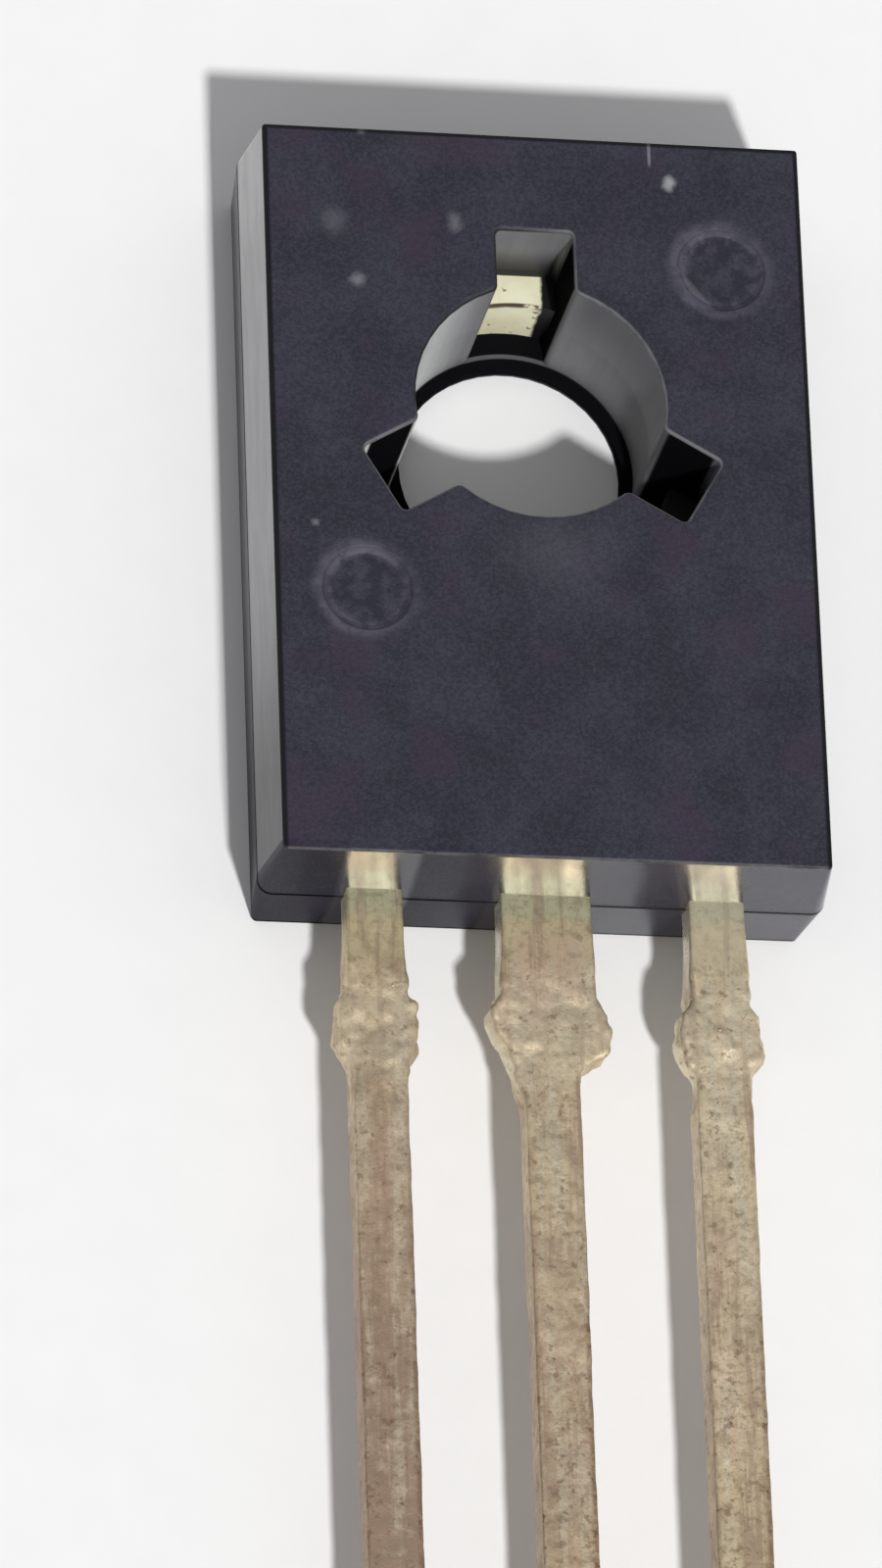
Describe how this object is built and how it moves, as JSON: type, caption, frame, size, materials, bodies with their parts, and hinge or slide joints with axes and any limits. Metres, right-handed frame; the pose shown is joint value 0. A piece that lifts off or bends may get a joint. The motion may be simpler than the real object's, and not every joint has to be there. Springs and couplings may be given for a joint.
{
  "type": "transistor",
  "caption": "Flat plastic power transistor with a notched screw hole, a bare metal mounting base and straight tinned leads in a row.",
  "frame": {"origin": "on the axis of the screw hole, in the plane of the mounting base", "axes": "+Z is the normal of the front face, -Y is the way the leads point, and +X is to the right with the front face seen and the leads down"},
  "size_m": [0.0076, 0.0264, 0.0025],
  "materials": {
    "black_epoxy": "charcoal moulding compound with a fine matt front face and smoother drafted sides",
    "tinned_copper": "tin-coated copper strip, tarnished to a mottled tan grey",
    "solder": "dull solder layer",
    "silicon": "polished silicon",
    "bond_wire": "drawn aluminium wire"
  },
  "bodies": {
    "root": {"moulded_body": "black_epoxy", "collector_frame": "tinned_copper", "emitter_lead": "tinned_copper", "base_lead": "tinned_copper", "die_attach_solder": "solder", "silicon_die": "silicon", "emitter_bond_wire": "bond_wire", "base_bond_wire": "bond_wire"}
  },
  "joints": []
}
